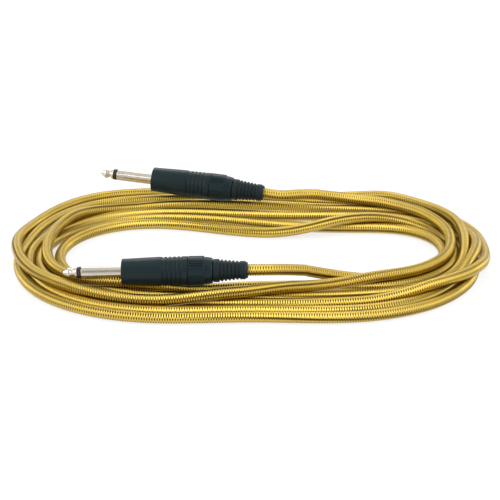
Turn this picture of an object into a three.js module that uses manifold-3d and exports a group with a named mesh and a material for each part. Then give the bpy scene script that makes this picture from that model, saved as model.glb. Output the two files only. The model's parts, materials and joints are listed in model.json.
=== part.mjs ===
// Coiled instrument cable with two straight two-pole 6.35 mm jack plugs.
// Millimetres, +Z up. The hank lies flat on z = 0, its long way along X, and its centre is the origin.
//
// A plug is built on its own axis: s runs along local +X from the tip to the end of the boot,
// and r is the distance from that axis.

import * as THREE from 'three';
import { mergeVertices } from 'three/addons/utils/BufferGeometryUtils.js';
import Module from 'manifold-3d';

const wasm = await Module();
wasm.setup();

// ---- driving dimensions ----

const GAP = 0.3;                 // between pieces of one plug
const TURN_SIDES = 20;           // sides of a turned piece
const INNER_SIDES = 16;          // sides of a small turned piece inside a plug

// Jack shaft
const SHAFT_R = 3.175;           // 6.35 mm plug
const TIP_END = 7.85;
const RING_START = 8.05;
const RING_END = 9.85;
const SLEEVE_START = 10.05;
const ROD_R = 1.0;
const ROD_END = 41.6;
const TUBE_R = 1.9;              // insulating tube between rod and sleeve
const TUBE_END = 38.3;
const FLANGE_R = 5.6;
const FLANGE_START = 33.9;
const FLANGE_END = 36.2;
const SPIGOT_R = 3.6;
const SPIGOT_END = 38.2;

// Housing
const FACE = 31.4;               // front face, where the bare shaft ends
const FRONT_R = 7.0;
const WAIST_S = 51.0;            // where the smooth stretch ends
const WAIST_R = 7.7;
const GRIP_START = 52.7;
const GRIP_COUNT = 5;
const GRIP_PITCH = 2.3;
const GRIP_GROOVE = 0.8;
const GRIP_DEPTH = 0.45;
const HOUSING_END = 66.0;
const REAR_R = 7.8;
const FRONT_WALL = 2.2;
const HOUSING_BORE_R = 5.9;
const THREAD_START = 56.5;
const THREAD_BORE_R = 6.5;

// Back nut
const NUT_START = 66.3;
const KNURL_END = 74.4;
const KNURL_R = 7.85;
const KNURL_GROUPS = 6;
const KNURL_GROOVES = 3;         // grooves in each group
const KNURL_STEP = 9.5;          // degrees between the grooves of a group
const KNURL_DEPTH = 0.55;
const KNURL_WIDTH = 0.6;
const SHOULDER_R = 7.3;
const NUT_END = 78.9;
const NUT_END_R = 6.6;
const NUT_BORE_R = 5.25;
const NUT_LIP = 73.5;
const NUT_HOLE_R = 4.5;
const NUT_SPIGOT_START = 57.8;
const NUT_SPIGOT_R = 6.2;

// Boot
const BOOT_START = 79.2;
const BOOT_RING_END = 82.4;
const BOOT_RING_R = 6.1;
const RIDGE_COUNT = 5;
const RIDGE_START = 83.2;
const RIDGE_PITCH = 2.0;
const RIDGE_WIDTH = 1.15;
const RIDGE_DEPTH = 0.65;
const RIDGE_FRONT_R = 5.75;
const RIDGE_BACK_R = 5.0;
const BOOT_COLLAR_START = 93.2;
const BOOT_COLLAR_R = 4.85;
const BOOT_COLLAR_END = 95.9;
const BOOT_END = 97.3;
const BOOT_END_R = 4.1;
const BOOT_BORE_R = 3.4;
const BOOT_FLANGE_START = 71.0;
const BOOT_FLANGE_R = 4.95;
const BOOT_NECK_R = 4.2;

// Cable
const CABLE_R = 3.0;
const CORE_R = 1.2;
const WIRE_R = 0.45;
const STUB_START = 47.0;
const CORE_START = 42.4;

// Where the plugs lie: tip, heading about Z and pitch above the horizontal, in degrees
const PLUGS = [
  { name: 'a', tip: [-88.7, 67.4, 17.7], heading: -11.0, pitch: -2.3 },
  { name: 'b', tip: [-99.5, -38.9, 12.6], heading: -1.3, pitch: 1.84 },
];

// The free stretches, after the straight piece that leaves each boot
const STRAIGHT = 10.5;
const LEAD_POINTS = {
  a: [[27, 48.7, 13.0], [38, 50.3, 12.2], [50, 51.6, 11.1], [63, 50.4, 9.9], [77, 46.6, 9.3]],
  b: [[20, -38.4, 14.3], [32, -34.4, 11.3], [45, -30.2, 7.8], [56, -27.4, 5.0]],
};
const LEAD_SIDES = 10;
const LEAD_STEPS = { a: 7, b: 6 };

// The hank: a flat ring, one cable thick
const HANK_LENGTH = 262;
const HANK_WIDTH = 142;
const HANK_HEIGHT = 6;
const OPENING_LENGTH = 208;
const OPENING_FRONT = 34.5;      // from the centre to the front bundle
const OPENING_REAR = 25;         // from the centre to the rear bundle
const HANK_POWER = 2.5;          // exponent of the rounded outline
const HANK_POINTS = 56;

// ---- colours ----

const gold = { color: 0xcdb05a, roughness: 0.35, metalness: 0.6 };
const nickel = { color: 0xd9d2c4, roughness: 0.18, metalness: 1.0 };
const blackShell = { color: 0x1c2529, roughness: 0.45, metalness: 0.0 };
const blackRubber = { color: 0x1d2327, roughness: 0.6, metalness: 0.0 };
const blackNylon = { color: 0x16181a, roughness: 0.5, metalness: 0.0 };
const whiteNylon = { color: 0xd8d6cc, roughness: 0.5, metalness: 0.0 };
const brass = { color: 0xc7a557, roughness: 0.3, metalness: 1.0 };
const copper = { color: 0xb87348, roughness: 0.35, metalness: 1.0 };

// ---- helpers ----

function mesh(name, geometry, finish) {
  const piece = new THREE.Mesh(geometry, new THREE.MeshStandardMaterial(finish));
  piece.name = name;
  return piece;
}

// Turns a profile of [s, r] points about the local X axis.
function turned(profile, sides = TURN_SIDES) {
  const points = profile.map(([s, r]) => new THREE.Vector2(r, s));
  return new THREE.LatheGeometry(points, sides).rotateZ(-Math.PI / 2);
}

// A bush: outer outline from front to back, closed by a straight bore.
function bush(outline, boreR, sides = TURN_SIDES) {
  const front = outline[0][0];
  const back = outline[outline.length - 1][0];
  return turned([[front, boreR], ...outline, [back, boreR], [front, boreR]], sides);
}

function block(x0, x1, y0, y1, z0, z1) {
  const geometry = new THREE.BoxGeometry(x1 - x0, y1 - y0, z1 - z0);
  return geometry.translate((x0 + x1) / 2, (y0 + y1) / 2, (z0 + z1) / 2);
}

function solid(geometry) {
  const bare = geometry.clone();
  bare.deleteAttribute('normal');
  bare.deleteAttribute('uv');
  const merged = mergeVertices(bare, 1e-4);
  return new wasm.Manifold(new wasm.Mesh({
    numProp: 3,
    vertProperties: new Float32Array(merged.attributes.position.array),
    triVerts: new Uint32Array(merged.index.array),
  }));
}

function geometryOf(manifold) {
  const result = manifold.getMesh();
  const geometry = new THREE.BufferGeometry();
  const positions = new Float32Array(result.vertProperties);
  geometry.setAttribute('position', new THREE.BufferAttribute(positions, 3));
  geometry.setIndex(new THREE.BufferAttribute(new Uint32Array(result.triVerts), 1));
  geometry.computeVertexNormals();
  return geometry;
}

// ---- pieces of a plug ----

function tipContact() {
  return turned([
    [0, 0], [0.12, 0.8], [0.6, 1.4], [2.9, 2.7], [3.4, 2.85], [3.9, 2.7], [5.4, 1.95], [5.8, 1.95],
    [7.1, 2.95], [TIP_END, 3.05], [TIP_END, ROD_R], [ROD_END - 0.8, ROD_R], [ROD_END - 0.8, 1.6],
    [ROD_END, 1.5], [ROD_END, 0],
  ], INNER_SIDES);
}

function insulator() {
  return turned([
    [RING_START, ROD_R + GAP], [RING_START, SHAFT_R - 0.05], [RING_END, SHAFT_R - 0.05],
    [RING_END, TUBE_R], [TUBE_END, TUBE_R], [TUBE_END, ROD_R + GAP], [RING_START, ROD_R + GAP],
  ], INNER_SIDES);
}

function sleeve() {
  return bush([
    [SLEEVE_START, SHAFT_R], [FLANGE_START, SHAFT_R], [FLANGE_START, FLANGE_R], [FLANGE_END, FLANGE_R],
    [FLANGE_END, SPIGOT_R], [SPIGOT_END, SPIGOT_R],
  ], TUBE_R + GAP);
}

function rearWasher() {
  return bush([[38.6, 3.4], [39.6, 3.4]], ROD_R + GAP, INNER_SIDES);
}

// Solder tag on the rod: a washer with a tongue that runs back over the core.
function tipLug() {
  const washer = solid(bush([[39.9, 2.7], [40.5, 2.7]], ROD_R + GAP, INNER_SIDES));
  const tongue = solid(block(40.0, 45.8, -1.1, 1.1, 1.9, 2.5));
  return geometryOf(washer.add(tongue));
}

// Earth tag on the sleeve's spigot: a washer, a strap and a claw that holds the cable's jacket.
function groundClamp() {
  const washer = solid(bush([[36.5, 4.7], [37.3, 4.7]], SPIGOT_R + GAP, INNER_SIDES));
  const strap = solid(block(36.7, 54.0, -1.5, 1.5, -4.45, -3.75));
  const claw = solid(bush([[49.0, 3.95], [53.5, 3.95]], CABLE_R + GAP, INNER_SIDES));
  const mouth = solid(block(48.5, 54.5, -2.2, 2.2, 1.0, 5.0));
  return geometryOf(washer.add(strap).add(claw.subtract(mouth)));
}

function liner() {
  return bush([[36.5, 5.6], [55.5, 5.6]], 5.0, INNER_SIDES);
}

// Collet that grips the jacket: a flanged sleeve with four slots from the back.
function chuck() {
  const outline = [[56.0, 5.6], [57.2, 5.6], [57.2, 4.9], [70.4, 4.9]];
  const body = solid(bush(outline, CABLE_R + GAP, INNER_SIDES));
  const slotA = solid(block(60.0, 71.0, -6, 6, -0.5, 0.5));
  const slotB = solid(block(60.0, 71.0, -0.5, 0.5, -6, 6));
  return geometryOf(body.subtract(slotA).subtract(slotB));
}

function housing() {
  const outline = [
    [FACE, FRONT_R - 0.35], [FACE + 0.35, FRONT_R], [FACE + 3.5, FRONT_R + 0.05], [WAIST_S, WAIST_R],
  ];
  for (let i = 0; i < GRIP_COUNT; i += 1) {
    const start = GRIP_START + i * GRIP_PITCH;
    const end = start + GRIP_GROOVE;
    const top = THREE.MathUtils.lerp(WAIST_R - 0.15, REAR_R, i / GRIP_COUNT);
    const floor = top - GRIP_DEPTH;
    outline.push([start, top], [start + 0.15, floor], [end, floor], [end + 0.15, top]);
  }
  outline.push([HOUSING_END - 0.2, REAR_R], [HOUSING_END, REAR_R - 0.2]);
  return turned([
    [FACE, SHAFT_R + GAP], ...outline, [HOUSING_END, THREAD_BORE_R], [THREAD_START, THREAD_BORE_R],
    [THREAD_START, HOUSING_BORE_R], [FACE + FRONT_WALL, HOUSING_BORE_R], [FACE + FRONT_WALL, SHAFT_R + GAP],
    [FACE, SHAFT_R + GAP],
  ]);
}

function backNut() {
  const body = turned([
    [NUT_SPIGOT_START, NUT_BORE_R], [NUT_SPIGOT_START, NUT_SPIGOT_R], [NUT_START, NUT_SPIGOT_R],
    [NUT_START, KNURL_R], [KNURL_END, KNURL_R], [KNURL_END + 0.1, SHOULDER_R], [76.2, 7.15], [77.6, 6.95],
    [NUT_END, NUT_END_R], [NUT_END, NUT_HOLE_R], [NUT_LIP, NUT_HOLE_R], [NUT_LIP, NUT_BORE_R],
    [NUT_SPIGOT_START, NUT_BORE_R],
  ]);
  let result = solid(body);
  const halfWidth = KNURL_WIDTH / 2;
  const floor = KNURL_R - KNURL_DEPTH;
  for (let group = 0; group < KNURL_GROUPS; group += 1) {
    for (let groove = 0; groove < KNURL_GROOVES; groove += 1) {
      const middle = (group + 0.5) * (360 / KNURL_GROUPS);
      const angle = middle + (groove - (KNURL_GROOVES - 1) / 2) * KNURL_STEP;
      const cutter = block(NUT_START + 0.4, KNURL_END + 1, -halfWidth, halfWidth, floor, KNURL_R + 1);
      cutter.rotateX(THREE.MathUtils.degToRad(angle));
      result = result.subtract(solid(cutter));
    }
  }
  return geometryOf(result);
}

function boot() {
  const outline = [
    [BOOT_FLANGE_START, BOOT_FLANGE_R], [73.2, BOOT_FLANGE_R],
    [73.2, BOOT_NECK_R], [BOOT_START, BOOT_NECK_R],
    [BOOT_START, BOOT_RING_R - 0.2], [BOOT_START + 0.2, BOOT_RING_R],
    [BOOT_RING_END, BOOT_RING_R], [BOOT_RING_END, BOOT_RING_R - RIDGE_DEPTH],
  ];
  for (let i = 0; i < RIDGE_COUNT; i += 1) {
    const start = RIDGE_START + i * RIDGE_PITCH;
    const end = start + RIDGE_WIDTH;
    const top = THREE.MathUtils.lerp(RIDGE_FRONT_R, RIDGE_BACK_R, i / (RIDGE_COUNT - 1));
    const floor = top - RIDGE_DEPTH;
    outline.push([start, floor], [start + 0.1, top], [end - 0.1, top], [end, floor]);
  }
  outline.push(
    [BOOT_COLLAR_START, RIDGE_BACK_R - RIDGE_DEPTH], [BOOT_COLLAR_START, BOOT_COLLAR_R],
    [BOOT_COLLAR_END, BOOT_COLLAR_R], [BOOT_COLLAR_END + 0.2, 4.5], [BOOT_END, BOOT_END_R],
  );
  return bush(outline, BOOT_BORE_R);
}

function centreCore() {
  return turned([
    [CORE_START, 0], [CORE_START, WIRE_R], [CORE_START + 1.2, WIRE_R], [CORE_START + 1.2, CORE_R],
    [STUB_START - GAP, CORE_R], [STUB_START - GAP, 0],
  ], 12);
}

function cableEnd() {
  return turned([[STUB_START, 0], [STUB_START, CABLE_R], [BOOT_END, CABLE_R], [BOOT_END, 0]], INNER_SIDES);
}

function plug({ name, tip, heading, pitch }) {
  const group = new THREE.Group();
  group.add(
    mesh(`tip_contact_${name}`, tipContact(), nickel),
    mesh(`tip_insulator_${name}`, insulator(), blackNylon),
    mesh(`sleeve_${name}`, sleeve(), nickel),
    mesh(`insulating_washer_${name}`, rearWasher(), blackNylon),
    mesh(`tip_lug_${name}`, tipLug(), brass),
    mesh(`ground_clamp_${name}`, groundClamp(), brass),
    mesh(`insulating_liner_${name}`, liner(), whiteNylon),
    mesh(`strain_chuck_${name}`, chuck(), blackNylon),
    mesh(`housing_${name}`, housing(), blackShell),
    mesh(`back_nut_${name}`, backNut(), blackShell),
    mesh(`boot_${name}`, boot(), blackRubber),
    mesh(`centre_core_${name}`, centreCore(), copper),
    mesh(`cable_end_${name}`, cableEnd(), gold),
  );
  group.position.set(...tip);
  group.rotation.set(0, -THREE.MathUtils.degToRad(pitch), THREE.MathUtils.degToRad(heading), 'ZYX');
  group.updateMatrixWorld();
  return group;
}

// ---- the cable ----

function lead(group, { name }) {
  const onAxis = (s) => new THREE.Vector3(s, 0, 0).applyMatrix4(group.matrixWorld);
  const points = [
    onAxis(BOOT_END + GAP),
    onAxis(BOOT_END + STRAIGHT),
    ...LEAD_POINTS[name].map((point) => new THREE.Vector3(...point)),
  ];
  const path = new THREE.CatmullRomCurve3(points, false, 'centripetal');
  const section = new THREE.Shape();
  for (let i = 0; i < LEAD_SIDES; i += 1) {
    const angle = (i / LEAD_SIDES) * 2 * Math.PI;
    const place = [CABLE_R * Math.cos(angle), CABLE_R * Math.sin(angle)];
    if (i === 0) {
      section.moveTo(...place);
    } else {
      section.lineTo(...place);
    }
  }
  const geometry = new THREE.ExtrudeGeometry(section, {
    steps: LEAD_STEPS[name],
    extrudePath: path,
    bevelEnabled: false,
  });
  return mesh(`cable_lead_${name}`, geometry, gold);
}

// A rounded outline: halfLength along X, halfFront towards -Y and halfRear towards +Y.
function roundedOutline(halfLength, halfFront, halfRear) {
  const points = [];
  for (let i = 0; i < HANK_POINTS; i += 1) {
    const angle = (i / HANK_POINTS) * 2 * Math.PI;
    const cos = Math.cos(angle);
    const sin = Math.sin(angle);
    const reach = sin < 0 ? halfFront : halfRear;
    points.push(new THREE.Vector2(
      halfLength * Math.sign(cos) * Math.abs(cos) ** (2 / HANK_POWER),
      reach * Math.sign(sin) * Math.abs(sin) ** (2 / HANK_POWER),
    ));
  }
  return points;
}

function hank() {
  const outline = new THREE.Shape(roundedOutline(HANK_LENGTH / 2, HANK_WIDTH / 2, HANK_WIDTH / 2));
  outline.holes.push(new THREE.Path(roundedOutline(OPENING_LENGTH / 2, OPENING_FRONT, OPENING_REAR)));
  const ring = new THREE.ExtrudeGeometry(outline, { depth: HANK_HEIGHT, bevelEnabled: false });
  return mesh('cable_hank', ring, gold);
}

// ---- the object ----

const cable = new THREE.Group();
cable.add(hank());
for (const place of PLUGS) {
  const group = plug(place);
  cable.add(group, lead(group, place));
}

export default cable;
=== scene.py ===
# Coiled instrument cable: gold braid under a clear jacket, two straight black jack plugs.
# The frame gives bodies, joints and the hidden inner pieces; this script makes what is seen.

import json
from math import cos, hypot, pi, radians, sin

import bpy
import numpy as np
from mathutils import Matrix, Vector


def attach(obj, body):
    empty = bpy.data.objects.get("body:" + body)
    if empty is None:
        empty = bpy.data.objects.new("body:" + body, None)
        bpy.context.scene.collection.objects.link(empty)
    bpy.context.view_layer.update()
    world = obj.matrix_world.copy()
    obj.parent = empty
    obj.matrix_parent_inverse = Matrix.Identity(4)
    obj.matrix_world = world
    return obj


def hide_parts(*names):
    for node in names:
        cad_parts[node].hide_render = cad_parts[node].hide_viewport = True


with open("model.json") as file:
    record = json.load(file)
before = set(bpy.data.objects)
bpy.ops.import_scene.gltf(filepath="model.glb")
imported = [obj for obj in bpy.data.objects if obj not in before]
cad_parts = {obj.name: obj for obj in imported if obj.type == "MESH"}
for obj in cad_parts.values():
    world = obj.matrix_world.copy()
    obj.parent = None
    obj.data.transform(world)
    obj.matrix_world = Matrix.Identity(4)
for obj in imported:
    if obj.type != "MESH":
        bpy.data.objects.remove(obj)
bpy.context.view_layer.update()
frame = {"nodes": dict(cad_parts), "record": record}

MM = 0.001
ROOT = "cable_and_shells"

# ---- sizes, in millimetres ----

CABLE_R = 3.0
CABLE_D = 2 * CABLE_R
CABLE_START = 94.0               # where the cable's skin begins inside a boot
BOOT_END = 97.3
STRAIGHT_END = 107.8             # where the straight piece behind a boot ends

# Where the plugs lie: tip, heading about Z and pitch above the horizontal, in degrees
PLUGS = {
    "a": ((-88.7, 67.4, 17.7), -11.0, -2.3),
    "b": ((-99.5, -38.9, 12.6), -1.3, 1.84),
}

# The free stretches, from the straight piece at each boot to the hank
LEAD_A = [(27, 48.7, 13.0), (38, 50.3, 12.2), (50, 51.6, 11.1), (63, 50.4, 9.9), (77, 46.6, 9.3)]
LEAD_B = [(20, -38.4, 14.3), (32, -34.4, 11.3), (45, -30.2, 7.8), (56, -27.4, 5.0)]

# The hank: stations round it in degrees, clockwise from the rear middle. Lane 0 is the outer line
# of the bundle and lane 1 the inner line.
STATIONS = [90, 70, 48, 25, 0, -25, -48, -70, -90, -110, -132, -155, -180, -205, -228, -250]
OUTER_LINE = (128.5, 68.0, 68.0)     # half length, depth to the front, depth to the rear
INNER_LINE = (107.5, 37.5, 28.0)
OUTLINE_POWER = 2.5

# Each turn's (lane, height) at the stations it passes; the first turn starts at station 2 and the
# last one ends at station 6.
TURNS = [
    (2, [(.36, 8.3), (.59, 8), (.88, 8.4), (.93, 8.4), (.93, 8.4), (.85, 8.2), (.58, 8.3),
         (.28, 8.2), (.25, 8.3), (.13, 8.2), (0, 8), (-.1, 6), (-.28, 3.5), (-.12, 3)]),
    (0, [(.02, 3), (.06, 3), (.20, 8), (.18, 8.5), (.53, 9), (.62, 8.5), (.62, 5), (.65, 3),
         (.66, 3), (.68, 3), (.70, 3), (.88, 3), (1, 3), (1.00, 3), (.80, 3), (.86, 3)]),
    (0, [(1.17, 3), (1.06, 6.5), (.72, 5), (.70, 5.5), (.74, 3), (.70, 3), (.78, 3), (1, 3),
         (1.02, 3), (.80, 5), (.60, 8), (.53, 7.5), (.76, 6.8), (.6, 8.7), (.36, 6), (.29, 4)]),
    (0, [(.33, 3), (.43, 3), (.24, 3), (.27, 3), (.24, 5.3), (.36, 6.5), (.20, 3), (.14, 3),
         (.28, 3), (.14, 3), (.16, 3), (.22, 3), (.3, 6.5), (.5, 3), (.50, 3), (.51, 3)]),
    (0, [(.65, 3), (.63, 3), (.46, 3), (.40, 3), (.36, 3), (.17, 3), (0, 3), (-.05, 3),
         (.08, 3), (-.06, 3), (-.07, 3), (-.05, 3), (.10, 3), (.1, 3), (0, 3), (.1, 3)]),
    (0, [(.14, 3), (.24, 3), (.08, 3), (.09, 3), (.10, 3), (.12, 4.5), (.36, 6.5), (.42, 4),
         (.47, 3), (.43, 3), (.44, 3), (.48, 3), (.47, 3), (.76, 3), (.64, 3), (.68, 3)]),
    (0, [(.86, 3), (1.05, 3), (.77, 3), (.82, 3), (.95, 3), (.98, 3), (1, 3)]),
]

# How the cable is laid
STEP = 2.5                       # between the points of its centreline
SPAN_SAMPLES = 24                # points of the curve between two places of the route
EASE = 12.0                      # length over which a bend is eased
HELD = 14                        # points at each end that the boots hold
EASE_RUN = 10                    # points after those over which the easing comes in
SETTLE_RUN = 6                   # and over which the settling comes in
ROUNDS = 240                     # of the settling
WEIGHT = 0.05                    # fall per round
HOLD = 0.03                      # share of the way back to its place per round
BENDING = ((8, 0.04), (4, 0.25), (2, 0.3), (1, 0.3))     # (reach in points, strength)
LOOKOUT = 3.5                    # gap within which two points may come to touch
LOOKOUT_ROUNDS = 6               # rounds between two searches for such points
CONTACT_PASSES = 3               # in each round
OVERSHOOT = 1.2                  # of the push that parts two points
TUBE_SIDES = 32

# ---- camera ----

CAMERA_TARGET = (-1.2, 7.0, 0)
CAMERA_DISTANCE = 0.780          # from the target, in metres
CAMERA_ELEVATION = radians(30)
SENSOR_WIDTH = 36
FOCAL_LENGTH = 100.8


def add_camera():
    data = bpy.data.cameras.new("camera")
    data.sensor_width = SENSOR_WIDTH
    data.lens = FOCAL_LENGTH
    data.clip_start = 0.01
    camera = bpy.data.objects.new("camera", data)
    target = Vector(CAMERA_TARGET) * MM
    outward = Vector((0, -cos(CAMERA_ELEVATION), sin(CAMERA_ELEVATION)))
    camera.location = target + CAMERA_DISTANCE * outward
    camera.rotation_euler = (pi / 2 - CAMERA_ELEVATION, 0, 0)
    bpy.context.collection.objects.link(camera)
    bpy.context.scene.camera = camera


# ---- the cable's route ----


def plug_matrix(name):
    """A plug's own axes in millimetres: +X runs from the tip to the boot."""
    tip, heading, pitch = PLUGS[name]
    turn = Matrix.Rotation(radians(heading), 4, "Z") @ Matrix.Rotation(-radians(pitch), 4, "Y")
    return Matrix.Translation(tip) @ turn


def on_axis(name, s):
    """The place on a plug's axis at the distance s from its tip."""
    return np.array(plug_matrix(name) @ Vector((s, 0, 0)))


def hank_point(angle, lane, height):
    """A place in the hank: a rounded oval between the outer and the inner line."""
    length, front, rear = (o + (i - o) * lane for o, i in zip(OUTER_LINE, INNER_LINE))
    c, s = cos(radians(angle)), sin(radians(angle))
    reach = rear if s > 0 else front
    power = 2 / OUTLINE_POWER
    x = length * np.sign(c) * abs(c) ** power
    y = reach * np.sign(s) * abs(s) ** power
    return np.array([x, y, height])


def route_points():
    """The places that the cable passes, from inside boot a to inside boot b."""
    ends = {n: [on_axis(n, s) for s in (CABLE_START, BOOT_END, STRAIGHT_END)] for n in PLUGS}
    points = ends["a"] + [np.array(p, float) for p in LEAD_A]
    for first, places in TURNS:
        for angle, (lane, height) in zip(STATIONS[first:], places):
            points.append(hank_point(angle, lane, height))
    points += [np.array(p, float) for p in reversed(LEAD_B)] + ends["b"][::-1]
    return np.array(points)


def resampled(line, step):
    """The same line as evenly spaced points, about a step apart."""
    along = np.r_[0, np.cumsum(np.linalg.norm(np.diff(line, axis=0), axis=1))]
    at = np.linspace(0, along[-1], int(round(along[-1] / step)) + 1)
    return np.stack([np.interp(at, along, line[:, k]) for k in range(3)], axis=1)


def curve_through(points, step):
    """A centripetal Catmull-Rom curve through the points, as evenly spaced points."""
    padded = np.vstack([2 * points[0] - points[1], points, 2 * points[-1] - points[-2]])
    out = []
    for p0, p1, p2, p3 in zip(padded, padded[1:], padded[2:], padded[3:]):
        t0 = 0.0
        t1 = t0 + np.linalg.norm(p1 - p0) ** 0.5
        t2 = t1 + np.linalg.norm(p2 - p1) ** 0.5
        t3 = t2 + np.linalg.norm(p3 - p2) ** 0.5
        t = np.linspace(t1, t2, SPAN_SAMPLES, endpoint=False)[:, None]
        a1 = (p0 * (t1 - t) + p1 * (t - t0)) / (t1 - t0)
        a2 = (p1 * (t2 - t) + p2 * (t - t1)) / (t2 - t1)
        a3 = (p2 * (t3 - t) + p3 * (t - t2)) / (t3 - t2)
        b1 = (a1 * (t2 - t) + a2 * (t - t0)) / (t2 - t0)
        b2 = (a2 * (t3 - t) + a3 * (t - t1)) / (t3 - t1)
        out.append((b1 * (t2 - t) + b2 * (t - t1)) / (t2 - t1))
    return resampled(np.vstack(out + [points[-1:]]), step)


def free_share(count, run):
    """0 at the held ends, rising to 1 over a run of points."""
    index = np.arange(count)
    return np.clip((np.minimum(index, count - 1 - index) - HELD) / run, 0, 1)[:, None]


def eased(line):
    """Evens out the bends with a bell-shaped average, corrected so that curves don't shrink."""
    reach = int(3 * EASE / STEP)
    bell = np.exp(-0.5 * (np.arange(-reach, reach + 1) * STEP / EASE) ** 2)
    bell /= bell.sum()
    bell = 2 * np.pad(bell, reach) - np.convolve(bell, bell)
    steps = np.arange(1, 2 * reach + 1)[:, None]
    before = line[0] - steps[::-1] * (line[1] - line[0])
    after = line[-1] + steps * (line[-1] - line[-2])
    long_line = np.vstack([before, line, after])
    mean = np.stack([np.convolve(long_line[:, k], bell, "valid") for k in range(3)], axis=1)
    return line + (mean - line) * free_share(len(line), EASE_RUN)


def settled(line):
    """Lets the cable down on the table and on itself: weight, bending stiffness and contact."""
    p = line.copy()
    count = len(p)
    share = free_share(count, SETTLE_RUN)
    weight = share[:, 0]
    first, second = np.triu_indices(count, int(np.ceil(3 * CABLE_D / STEP)))
    for i in range(ROUNDS):
        p[:, 2] -= WEIGHT * weight
        p[:, :2] += HOLD * (line[:, :2] - p[:, :2]) * share
        for k, strength in BENDING:
            even = p.copy()
            even[2 * k:-2 * k] = (-p[:-4 * k] + 4 * p[k:-3 * k] + 4 * p[3 * k:-k] - p[4 * k:]) / 6
            p += strength * (even - p) * share
        if i % LOOKOUT_ROUNDS == 0:
            near = ((p[first] - p[second]) ** 2).sum(1) < (CABLE_D + LOOKOUT) ** 2
            a, b = first[near], second[near]
        for _ in range(CONTACT_PASSES):
            push_apart(p, a, b, weight)
            p[:, 2] = np.maximum(p[:, 2], CABLE_R)
    return p


def push_apart(p, a, b, weight):
    """Moves the points a and b of p apart where they are closer than the cable is thick."""
    gap = p[a] - p[b]
    distance = np.maximum(np.linalg.norm(gap, axis=1), 1e-6)
    hit = distance < CABLE_D
    a, b, gap, distance = a[hit], b[hit], gap[hit], distance[hit]
    push = ((CABLE_D - distance) / distance)[:, None] * gap
    total = np.maximum(weight[a] + weight[b], 1e-6)
    moved, times = np.zeros_like(p), np.zeros(len(p))
    np.add.at(moved, a, push * (weight[a] / total)[:, None])
    np.add.at(moved, b, -push * (weight[b] / total)[:, None])
    np.add.at(times, a, 1)
    np.add.at(times, b, 1)
    p += OVERSHOOT * moved / np.maximum(times, 1)[:, None]


# ---- meshes ----


def add_mesh(name, vertices, faces, matrix=None):
    """A smooth-shaded mesh from millimetre coordinates, placed by a millimetre matrix."""
    points = np.asarray(vertices, float)
    if matrix is not None:
        m = np.array(matrix)
        points = points @ m[:3, :3].T + m[:3, 3]
    data = bpy.data.meshes.new(name)
    data.from_pydata((points * MM).tolist(), [], faces)
    data.polygons.foreach_set("use_smooth", [True] * len(data.polygons))
    data.update()
    piece = bpy.data.objects.new(name, data)
    bpy.context.collection.objects.link(piece)
    return piece


def rounded(profile, radius, steps=4):
    """The profile with each of its corners turned into a small curve."""
    points = [np.array(p, float) for p in profile]
    out = [points[0]]
    for before, corner, after in zip(points, points[1:], points[2:]):
        back, ahead = before - corner, after - corner
        reach = min(radius, 0.45 * hypot(*back), 0.45 * hypot(*ahead))
        start = corner + back / hypot(*back) * reach
        end = corner + ahead / hypot(*ahead) * reach
        for t in np.linspace(0, 1, steps):
            out.append((1 - t) ** 2 * start + 2 * t * (1 - t) * corner + t * t * end)
    out.append(points[-1])
    return out


def turned(name, profile, matrix, sides, radius_at=None):
    """Turns a profile of (s, r) about the X axis. radius_at may change r by angle."""
    rows = [np.array(p, float) for p in profile]
    angles = np.arange(sides) * 2 * pi / sides
    vertices, faces, starts = [], [], []
    for s, r in rows:
        starts.append(len(vertices))
        if r < 1e-6:
            vertices.append((s, 0, 0))
            continue
        radii = np.full(sides, r) if radius_at is None else radius_at(s, r, angles)
        vertices += [(s, q * sin(t), q * cos(t)) for q, t in zip(radii, angles)]
    for i in range(len(rows) - 1):
        here, there = starts[i], starts[i + 1]
        for j in range(sides):
            k = (j + 1) % sides
            quad = [here + j, here + k, there + k, there + j]
            if rows[i][1] < 1e-6:
                quad = [here, there + k, there + j]
            elif rows[i + 1][1] < 1e-6:
                quad = [here + j, here + k, there]
            faces.append(quad)
    return add_mesh(name, vertices, faces, matrix)


def tube(name, line, radius, sides):
    """A closed tube along a line, with u along it in millimetres and v once round it."""
    ahead = np.gradient(line, axis=0)
    ahead /= np.linalg.norm(ahead, axis=1)[:, None]
    side = np.cross(ahead[0], (0, 0, 1))
    angles = np.arange(sides) * 2 * pi / sides
    rings = []
    for point, direction in zip(line, ahead):
        side = side - direction * side.dot(direction)
        side /= np.linalg.norm(side)
        up = np.cross(side, direction)
        circle = np.outer(np.cos(angles), side) + np.outer(np.sin(angles), up)
        rings.append(point + radius * circle)
    count = len(line)
    faces, coordinates = [], []
    along = np.r_[0, np.cumsum(np.linalg.norm(np.diff(line, axis=0), axis=1))]
    for i in range(count - 1):
        for j in range(sides):
            k = (j + 1) % sides
            faces.append((i * sides + j, i * sides + k, (i + 1) * sides + k, (i + 1) * sides + j))
            v0, v1 = j / sides, (j + 1) / sides
            coordinates += [(along[i], v0), (along[i], v1), (along[i + 1], v1), (along[i + 1], v0)]
    faces.append(tuple(reversed(range(sides))))
    faces.append(tuple(range((count - 1) * sides, count * sides)))
    coordinates += [(0, 0)] * (2 * sides)
    piece = add_mesh(name, np.vstack(rings), faces)
    layer = piece.data.uv_layers.new(name="along_and_round")
    layer.data.foreach_set("uv", np.array(coordinates, float).ravel())
    return piece


# ---- materials ----


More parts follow.
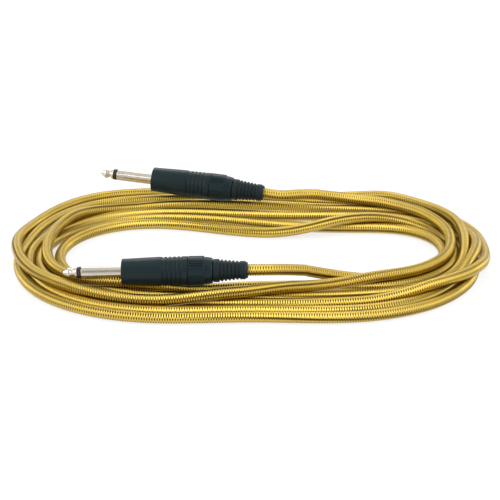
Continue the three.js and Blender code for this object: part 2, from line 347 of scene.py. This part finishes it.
class Nodes:
    """A material's node tree, with short ways to add and join nodes."""

    def __init__(self, name):
        self.material = bpy.data.materials.new(name)
        self.material.use_nodes = True
        self.tree = self.material.node_tree
        self.shader = self.tree.nodes["Principled BSDF"]

    def add(self, kind, **settings):
        node = self.tree.nodes.new(kind)
        for key, value in settings.items():
            setattr(node, key, value)
        return node

    def join(self, source, target):
        if isinstance(source, (int, float)):
            target.default_value = source
        else:
            self.tree.links.new(source, target)

    def math(self, operation, a, b=0.0, c=0.0):
        node = self.add("ShaderNodeMath", operation=operation)
        for value, socket in zip((a, b, c), node.inputs):
            self.join(value, socket)
        return node.outputs[0]

    def smooth(self, value, low, high, out_low=0.0, out_high=1.0):
        node = self.add("ShaderNodeMapRange", interpolation_type="SMOOTHSTEP")
        limits = (value, low, high, out_low, out_high)
        for limit, socket in zip(limits, node.inputs):
            self.join(limit, socket)
        return node.outputs[0]

    def mix(self, factor, a, b):
        node = self.add("ShaderNodeMix", data_type="RGBA")
        self.join(factor, node.inputs["Factor"])
        for colour, socket in ((a, node.inputs[6]), (b, node.inputs[7])):
            if isinstance(colour, tuple):
                socket.default_value = (*colour, 1)
            else:
                self.tree.links.new(colour, socket)
        return node.outputs[2]

    def noise(self, scale, detail=3.0, roughness=0.5, stretch=None):
        coordinates = self.add("ShaderNodeTexCoord").outputs["Object"]
        if stretch is not None:
            mapping = self.add("ShaderNodeMapping")
            mapping.inputs["Scale"].default_value = stretch
            self.tree.links.new(coordinates, mapping.inputs["Vector"])
            coordinates = mapping.outputs[0]
        node = self.add("ShaderNodeTexNoise")
        node.inputs["Scale"].default_value = scale
        node.inputs["Detail"].default_value = detail
        node.inputs["Roughness"].default_value = roughness
        self.tree.links.new(coordinates, node.inputs["Vector"])
        return node.outputs["Fac"]

    def bump(self, height, distance, strength=1.0):
        node = self.add("ShaderNodeBump")
        node.inputs["Distance"].default_value = distance
        node.inputs["Strength"].default_value = strength
        self.tree.links.new(height, node.inputs["Height"])
        self.tree.links.new(node.outputs[0], self.shader.inputs["Normal"])

    def set(self, **values):
        for key, value in values.items():
            socket = self.shader.inputs[key.replace("_", " ")]
            if isinstance(value, bpy.types.NodeSocket):
                self.tree.links.new(value, socket)
            else:
                socket.default_value = (*value, 1) if isinstance(value, tuple) else value


def gold_braid():
    """A two-way braid of gold wires under a clear jacket, with rows of small dark marks, painted
    shade in its hollows and on each wire's edges, and a painted highlight along each wire's middle.
    """
    carriers = 4            # bands of wires that run each way round
    lay = 5.2               # length of a band's turn, in millimetres
    wires = 3               # in each band
    rows = 3                # of dark marks, round the cable
    wander_length = 430     # the rows creep round the cable and back over this length
    wander = 0.10           # and by this share of a turn to each side
    # The two wire colours are painted shade at a wire's edges and a painted highlight along its
    # middle.
    wire_edge_shade_gold, wire_crown_highlight_gold = (0.43, 0.26, 0.024), (0.83, 0.64, 0.155)
    worn_gold = (0.67, 0.475, 0.078)
    # The first brown is painted shade in the braid's hollows; the second colours the dark marks.
    hollow_shade_brown, mark_brown = (0.085, 0.034, 0.002), (0.014, 0.006, 0.001)
    n = Nodes("gold_braid")
    split = n.add("ShaderNodeSeparateXYZ")
    n.tree.links.new(n.add("ShaderNodeUVMap").outputs[0], split.inputs[0])
    along, around = split.outputs[0], split.outputs[1]
    twist = n.math("MULTIPLY", along, carriers / lay)
    turn = n.math("MULTIPLY", around, carriers)
    right = n.math("ADD", turn, twist)
    left = n.math("SUBTRACT", turn, twist)

    def middle(phase):
        """1 in the middle of a band or wire and 0 at its edges."""
        return n.math("MULTIPLY", n.math("PINGPONG", phase, 0.5), 2.0)

    right_on_top = n.math("GREATER_THAN", middle(right), middle(left))
    height = n.math("MAXIMUM", middle(right), middle(left))
    # painted shade: the hollows, where neither band of wires is raised
    hole = n.smooth(height, 0.36, 0.64, 1.0, 0.0)
    wire_right = middle(n.math("MULTIPLY", right, wires))
    wire_left = middle(n.math("MULTIPLY", left, wires))
    wire = n.mix(right_on_top, wire_left, wire_right)
    # one dark mark in each row for each repeat of the braid
    swing = n.math("SINE", n.math("MULTIPLY", along, 2 * pi / wander_length))
    creep = n.math("MULTIPLY", swing, wander)
    row = n.math("MULTIPLY", n.math("ADD", around, creep), float(rows))
    in_row = n.smooth(n.math("PINGPONG", row, 0.5), 0.08, 0.13, 1.0, 0.0)
    in_repeat = n.smooth(n.math("PINGPONG", twist, 0.5), 0.22, 0.32, 1.0, 0.0)
    mark = n.math("MULTIPLY", in_repeat, in_row)
    # painted shade and highlight across each wire: dark at its edges, light along its middle
    shade = n.mix(wire, wire_edge_shade_gold, wire_crown_highlight_gold)
    worn = n.mix(n.smooth(n.noise(60), 0.35, 0.7), shade, worn_gold)
    # painted shade laid into the hollows
    braid = n.mix(hole, worn, hollow_shade_brown)
    colour = n.mix(n.math("MULTIPLY", mark, 0.95), braid, mark_brown)
    n.set(Base_Color=colour, Metallic=1.0, Roughness=0.30)
    n.set(Coat_Weight=0.18, Coat_Roughness=0.2, Coat_IOR=1.35)
    relief = n.math("ADD", n.math("MULTIPLY", height, 0.6), n.math("MULTIPLY", wire, 0.4))
    n.bump(relief, 0.00022, 0.8)
    return n.material


def black_shell():
    """Moulded bluish-black nylon with a satin skin."""
    n = Nodes("black_shell")
    mottle = n.noise(220, 5, 0.6)
    n.set(Base_Color=n.mix(mottle, (0.0047, 0.0132, 0.0160), (0.0073, 0.0195, 0.0230)))
    n.set(Roughness=n.smooth(n.noise(900, 4, 0.6), 0.3, 0.7, 0.30, 0.42))
    n.set(Specular_IOR_Level=0.22)
    n.bump(n.noise(3200, 3, 0.6), 0.00002, 0.5)
    return n.material


def black_rubber():
    """Soft moulded rubber, mottled and duller than the shells."""
    n = Nodes("black_rubber")
    mottle = n.noise(260, 5, 0.65)
    n.set(Base_Color=n.mix(mottle, (0.0052, 0.0118, 0.0140), (0.0098, 0.0188, 0.0218)))
    n.set(Roughness=n.smooth(n.noise(800, 4, 0.6), 0.3, 0.7, 0.44, 0.58))
    n.set(Specular_IOR_Level=0.22)
    n.bump(n.noise(2600, 4, 0.65), 0.00003, 0.6)
    return n.material


def nickel():
    """Polished nickel with fine turning marks and faint handling marks."""
    n = Nodes("nickel")
    tint = n.mix(n.noise(140, 4), (0.60, 0.55, 0.46), (0.68, 0.63, 0.54))
    n.set(Base_Color=tint, Metallic=1.0)
    n.set(Roughness=n.smooth(n.noise(600, 5, 0.6), 0.35, 0.75, 0.16, 0.26))
    n.bump(n.noise(300, 4, 0.7, (14, 1, 1)), 0.00001, 0.35)
    return n.material


def moulded(name, dark, light, low, high):
    """Plain moulded nylon: two shades and a range of roughness."""
    n = Nodes(name)
    n.set(Base_Color=n.mix(n.noise(300, 4), dark, light))
    n.set(Roughness=n.smooth(n.noise(1200, 3), 0.3, 0.7, low, high))
    n.bump(n.noise(4000, 3), 0.00001, 0.5)
    return n.material


def bare_metal(name, dark, light, low, high):
    """Stamped or drawn metal with faint scratches along it: two shades and a range of roughness."""
    n = Nodes(name)
    n.set(Base_Color=n.mix(n.noise(260, 4), dark, light), Metallic=1.0)
    n.set(Roughness=n.smooth(n.noise(900, 4), 0.3, 0.7, low, high))
    n.bump(n.noise(700, 4, 0.7, (1, 9, 9)), 0.00001, 0.4)
    return n.material


def floor_white():
    """A matt floor that glows like a light table, so that shadows on it stay faint."""
    n = Nodes("floor_white")
    n.set(Base_Color=n.mix(n.noise(6), (0.25, 0.25, 0.25), (0.27, 0.27, 0.27)), Roughness=0.9)
    n.set(Specular_IOR_Level=0.1, Emission_Color=(1.0, 1.0, 1.0), Emission_Strength=0.74)
    return n.material


# Plain finishes: darker and lighter colour, lowest and highest roughness
MOULDED = {
    "black_nylon": ((0.008, 0.009, 0.010), (0.014, 0.015, 0.016), 0.34, 0.48),
    "white_nylon": ((0.66, 0.64, 0.58), (0.74, 0.72, 0.67), 0.42, 0.55),
}
BARE_METAL = {
    "brass_tag": ((0.55, 0.38, 0.13), (0.70, 0.50, 0.20), 0.24, 0.4),
    "copper_core": ((0.60, 0.27, 0.13), (0.75, 0.36, 0.20), 0.25, 0.42),
}


def make_materials():
    """Every material by the name of its slot."""
    made = {
        "gold_braid": gold_braid(),
        "nickel": nickel(),
        "black_shell": black_shell(),
        "black_rubber": black_rubber(),
    }
    made.update({name: moulded(name, *finish) for name, finish in MOULDED.items()})
    made.update({name: bare_metal(name, *finish) for name, finish in BARE_METAL.items()})
    return made


def dress(piece, slot, materials, body, *replaced):
    """Gives a piece its material and its body, and hides the CAD nodes that it stands for."""
    piece.data.materials.clear()
    piece.data.materials.append(materials[slot])
    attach(piece, body)
    if replaced:
        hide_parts(*replaced)
    return piece


# ---- pieces of a plug ----
# Each profile is a list of (distance from the tip, radius) in millimetres.

GAP = 0.3                        # between pieces of one plug

# Jack shaft
SHAFT_R = 3.175
TIP_END = 7.85
RING_START = 8.05
RING_END = 9.85
SLEEVE_START = 10.05
ROD_R = 1.0
ROD_END = 41.6
ROD_HEAD = 0.8
TUBE_R = 1.9                     # insulating tube between rod and sleeve
TUBE_END = 38.3
FLANGE_R = 5.6
FLANGE_START = 33.9
FLANGE_END = 36.2
SPIGOT_R = 3.6
SPIGOT_END = 38.2

# Housing
FACE = 31.4                      # front face, where the bare shaft ends
FACE_EDGE = 0.35
FRONT_R = 7.0
WAIST_S = 51.0                   # where the smooth stretch ends
WAIST_R = 7.7
GRIP_START = 52.7
GRIP_COUNT = 5
GRIP_PITCH = 2.3
GRIP_GROOVE = 0.8
GRIP_DEPTH = 0.45
GRIP_FRONT_R = 7.55
GRIP_SLOPE = 0.12
HOUSING_END = 66.0
REAR_R = 7.8
FRONT_WALL = 2.2
HOUSING_BORE_R = 5.9
THREAD_START = 56.5
THREAD_BORE_R = 6.5

# Back nut
NUT_START = 66.3
KNURL_END = 74.4
KNURL_R = 7.85
KNURL_GROUPS = 6
KNURL_STEP = radians(9.5)        # between the grooves of a group
KNURL_DEPTH = 0.55
KNURL_WIDTH = 0.6
KNURL_BEVEL = 0.06               # on each side of a groove's edge
KNURL_EDGE = 0.35                # plain edge in front of the grooves
SHOULDER_R = 7.3
NUT_END = 78.9
NUT_END_R = 6.6
NUT_BORE_R = 5.25
NUT_LIP = 73.5
NUT_HOLE_R = 4.5
NUT_SPIGOT_START = 57.8
NUT_SPIGOT_R = 6.2

# Boot
BOOT_START = 79.2
BOOT_RING_END = 82.4
BOOT_RING_R = 6.1
BOOT_RING_EDGE = 0.2
RIDGE_COUNT = 5
RIDGE_START = 83.2
RIDGE_PITCH = 2.0
RIDGE_WIDTH = 1.15
RIDGE_DEPTH = 0.65
RIDGE_SLOPE = 0.1
RIDGE_FRONT_R = 5.75
RIDGE_BACK_R = 5.0
BOOT_COLLAR_START = 93.2
BOOT_COLLAR_R = 4.85
BOOT_COLLAR_END = 95.9
BOOT_END_R = 4.1
BOOT_BORE_R = 3.4
BOOT_FLANGE_START = 71.0
BOOT_FLANGE_END = 73.2
BOOT_FLANGE_R = 4.95
BOOT_NECK_R = 4.2

# How far the pieces' corners are rounded, and the sides round each piece
TIP_SOFT, RING_SOFT, SHAFT_SOFT, SHELL_SOFT, NUT_SOFT = 0.25, 0.08, 0.1, 0.22, 0.18
SHAFT_SIDES, SHELL_SIDES, NUT_SIDES = 96, 128, 540


def tip_profile():
    return [
        (0, 0), (0.02, 0.45), (0.12, 0.8), (0.6, 1.4), (2.9, 2.7), (3.4, 2.87), (3.9, 2.7),
        (5.4, 1.95), (5.8, 1.95), (7.0, 2.95), (TIP_END, 3.05), (TIP_END, ROD_R),
        (ROD_END - ROD_HEAD, ROD_R), (ROD_END - ROD_HEAD, 1.6), (ROD_END, 1.5), (ROD_END, 0),
    ]


def insulator_profile():
    bore, ring = ROD_R + GAP, SHAFT_R - 0.05
    return [
        (RING_START, bore), (RING_START, ring), (RING_END, ring), (RING_END, TUBE_R),
        (TUBE_END, TUBE_R), (TUBE_END, bore), (RING_START, bore),
    ]


def sleeve_profile():
    bore = TUBE_R + GAP
    return [
        (SLEEVE_START, bore), (SLEEVE_START, 3.0), (SLEEVE_START + 0.15, SHAFT_R),
        (FLANGE_START, SHAFT_R), (FLANGE_START, FLANGE_R), (FLANGE_END, FLANGE_R),
        (FLANGE_END, SPIGOT_R), (SPIGOT_END, SPIGOT_R), (SPIGOT_END, bore), (SLEEVE_START, bore),
    ]


def housing_profile():
    hole = SHAFT_R + GAP
    wall = FACE + FRONT_WALL
    profile = [
        (FACE, hole), (FACE, FRONT_R - FACE_EDGE), (FACE + FACE_EDGE, FRONT_R),
        (FACE + 3.5, FRONT_R + 0.05), (43, 7.4), (WAIST_S, WAIST_R),
    ]
    for i in range(GRIP_COUNT):
        start = GRIP_START + i * GRIP_PITCH
        end = start + GRIP_GROOVE
        top = GRIP_FRONT_R + (REAR_R - GRIP_FRONT_R) * i / GRIP_COUNT
        bottom = top - GRIP_DEPTH
        profile += [
            (start, top), (start + GRIP_SLOPE, bottom), (end, bottom), (end + GRIP_SLOPE, top),
        ]
    return profile + [
        (HOUSING_END - 0.2, REAR_R), (HOUSING_END, REAR_R - 0.2), (HOUSING_END, THREAD_BORE_R),
        (THREAD_START, THREAD_BORE_R), (THREAD_START, HOUSING_BORE_R), (wall, HOUSING_BORE_R),
        (wall, hole), (FACE, hole),
    ]


def nut_profile():
    """The points at 66.7, 67 and 74 give the nut's grooves rows to start and stop at."""
    return [
        (NUT_SPIGOT_START, NUT_BORE_R), (NUT_SPIGOT_START, NUT_SPIGOT_R),
        (NUT_START, NUT_SPIGOT_R), (NUT_START, KNURL_R), (66.7, KNURL_R), (67.0, KNURL_R),
        (74.0, KNURL_R), (KNURL_END, KNURL_R), (KNURL_END + 0.1, SHOULDER_R), (76.2, 7.15),
        (77.6, 6.95), (NUT_END, NUT_END_R), (NUT_END, NUT_HOLE_R), (NUT_LIP, NUT_HOLE_R),
        (NUT_LIP, NUT_BORE_R), (NUT_SPIGOT_START, NUT_BORE_R),
    ]


def knurled(s, r, angles):
    """Groups of three shallow grooves between plain panels, on the nut's widest stretch."""
    in_stretch = NUT_START + KNURL_EDGE < s < KNURL_END + 0.05
    if r < KNURL_R - 0.3 or not in_stretch:
        return np.full(len(angles), r)
    sector = 2 * pi / KNURL_GROUPS
    place = angles % sector - sector / 2
    nearest = np.clip(np.round(place / KNURL_STEP), -1, 1) * KNURL_STEP
    away = np.abs(place - nearest) * r
    share = np.clip((KNURL_WIDTH / 2 + KNURL_BEVEL - away) / (2 * KNURL_BEVEL), 0, 1)
    return r - KNURL_DEPTH * share * share * (3 - 2 * share)


def boot_profile():
    profile = [
        (BOOT_FLANGE_START, BOOT_FLANGE_R), (BOOT_FLANGE_END, BOOT_FLANGE_R),
        (BOOT_FLANGE_END, BOOT_NECK_R), (BOOT_START, BOOT_NECK_R),
        (BOOT_START, BOOT_RING_R - BOOT_RING_EDGE), (BOOT_START + BOOT_RING_EDGE, BOOT_RING_R),
        (BOOT_RING_END, BOOT_RING_R), (BOOT_RING_END, BOOT_RING_R - RIDGE_DEPTH),
    ]
    for i in range(RIDGE_COUNT):
        start = RIDGE_START + i * RIDGE_PITCH
        end = start + RIDGE_WIDTH
        top = RIDGE_FRONT_R + (RIDGE_BACK_R - RIDGE_FRONT_R) * i / (RIDGE_COUNT - 1)
        bottom = top - RIDGE_DEPTH
        profile += [
            (start, bottom), (start + RIDGE_SLOPE, top), (end - RIDGE_SLOPE, top), (end, bottom),
        ]
    return profile + [
        (BOOT_COLLAR_START, RIDGE_BACK_R - RIDGE_DEPTH), (BOOT_COLLAR_START, BOOT_COLLAR_R),
        (BOOT_COLLAR_END, BOOT_COLLAR_R), (BOOT_COLLAR_END + 0.2, 4.5), (BOOT_END, BOOT_END_R),
        (BOOT_END, BOOT_BORE_R), (BOOT_FLANGE_START, BOOT_BORE_R),
        (BOOT_FLANGE_START, BOOT_FLANGE_R),
    ]


def add_plug(name, materials):
    """The visible pieces of one plug."""
    at = plug_matrix(name)
    pieces = []

    def part(kind, slot, body, profile, soft, sides=SHAFT_SIDES, radius_at=None):
        node = f"{kind}_{name}"
        piece = turned(f"{kind}_skin_{name}", rounded(profile, soft), at, sides, radius_at)
        pieces.append(dress(piece, slot, materials, body, node))

    nut, boot = f"back_nut_{name}", f"boot_{name}"
    part("tip_contact", "nickel", ROOT, tip_profile(), TIP_SOFT)
    part("tip_insulator", "black_nylon", ROOT, insulator_profile(), RING_SOFT)
    part("sleeve", "nickel", ROOT, sleeve_profile(), SHAFT_SOFT)
    part("housing", "black_shell", ROOT, housing_profile(), SHELL_SOFT, SHELL_SIDES)
    part("back_nut", "black_shell", nut, nut_profile(), NUT_SOFT, NUT_SIDES, knurled)
    part("boot", "black_rubber", boot, boot_profile(), SHELL_SOFT, SHELL_SIDES)
    return pieces


def add_inner_pieces(materials):
    """The pieces inside the shells stay as they are in the frame and get their finish."""
    slots = {s["node"]: s["material_slot"] for s in frame["record"]["subparts"]}
    for node, piece in frame["nodes"].items():
        if not piece.hide_render:
            piece.data.materials.clear()
            piece.data.materials.append(materials[slots[node]])


# ---- the cable ----


def add_cable(materials):
    line = settled(eased(curve_through(route_points(), STEP)))
    line = resampled(line, STEP)
    piece = tube("cable", line, CABLE_R, TUBE_SIDES)
    dress(piece, "gold_braid", materials, ROOT, "cable_hank", "cable_lead_a", "cable_lead_b")


# ---- stage ----

WORLD_LIGHT = 0.42

# name, place, target, size, power
AREA_LIGHTS = [
    ("overhead", (0, 0.35, 1.2), (0, 0.3, 0), (2.4, 1.5), 5.5),
    ("rear", (0, 1.2, 0.62), (0, 0, 0), (2.2, 0.5), 10),
    ("front_low", (0, -1.2, 0.33), (0, 0, 0), (2.4, 0.5), 2),
    ("left", (-1.1, -0.2, 0.7), (0, 0, 0), (1.4, 0.9), 14),
    ("right", (1.1, -0.2, 0.7), (0, 0, 0), (1.4, 0.9), 14),
]


def add_floor():
    half = 3000.0                # of its side, in millimetres
    corners = [(-half, -half, 0), (half, -half, 0), (half, half, 0), (-half, half, 0)]
    floor = add_mesh("floor", corners, [(0, 1, 2, 3)])
    floor.data.materials.append(floor_white())


def add_light(name, place, target, size, power):
    """A white area light, in metres and watts."""
    data = bpy.data.lights.new(name, "AREA")
    data.shape = "RECTANGLE"
    data.size, data.size_y = size
    data.energy = power
    light = bpy.data.objects.new(name, data)
    light.location = place
    light.rotation_euler = (Vector(target) - Vector(place)).to_track_quat("-Z", "Y").to_euler()
    bpy.context.collection.objects.link(light)


def add_lighting():
    world = bpy.data.worlds.new("studio")
    world.use_nodes = True
    background = world.node_tree.nodes["Background"]
    background.inputs["Color"].default_value = (1, 1, 1, 1)
    background.inputs["Strength"].default_value = WORLD_LIGHT
    bpy.context.scene.world = world
    for light in AREA_LIGHTS:
        add_light(*light)
    bpy.context.scene.view_settings.view_transform = "Standard"


# ---- the scene ----

add_camera()
materials = make_materials()
add_plug("a", materials)
plug_b = add_plug("b", materials)
add_cable(materials)
add_inner_pieces(materials)
add_floor()
add_lighting()
